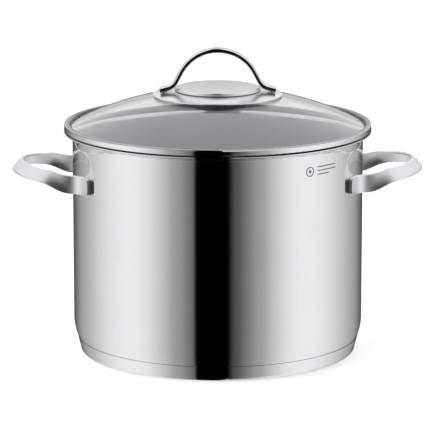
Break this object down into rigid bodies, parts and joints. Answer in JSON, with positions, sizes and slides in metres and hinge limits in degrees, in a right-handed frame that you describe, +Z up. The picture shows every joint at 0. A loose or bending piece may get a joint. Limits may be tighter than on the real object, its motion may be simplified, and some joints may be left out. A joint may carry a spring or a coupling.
{
  "type": "stock pot",
  "caption": "Tall cylindrical steel stock pot with a capsule base, twisted strip side handles and a domed glass lid with a steel ring and an arched handle, for simmering on a hob.",
  "frame": {"origin": "centre of the flat face the base rests on", "axes": "+Z up along the pot's axis, +X towards one side handle, -Y towards the viewer's front"},
  "size_m": [0.342, 0.2568, 0.2542],
  "materials": {
    "polished_steel": "mirror-polished stainless steel",
    "satin_steel": "turned or satin stainless steel",
    "aluminium_core": "raw pressed aluminium",
    "lid_glass": "clear tempered glass",
    "silicone": "matt silicone rubber"
  },
  "bodies": {
    "pot": {"pot_shell": "polished_steel", "base_core": "aluminium_core", "base_cap": "satin_steel", "handle_left": "polished_steel", "handle_right": "polished_steel", "handle_left_welds": "satin_steel", "handle_right_welds": "satin_steel"},
    "lid": {"lid_ring": "satin_steel", "lid_glass": "lid_glass", "lid_disc": "polished_steel", "lid_handle": "polished_steel", "lid_handle_welds": "satin_steel", "lid_boss": "satin_steel", "hole_sleeve": "silicone", "upper_gasket": "silicone", "lower_gasket": "silicone", "lower_washer": "satin_steel", "spring_washer": "satin_steel", "lid_screw": "satin_steel"}
  },
  "joints": [
    {"name": "lid_lift", "type": "slide", "parent": "pot", "child": "lid", "axis": [0, 0, 1], "range_m": [0, 0.25]}
  ]
}
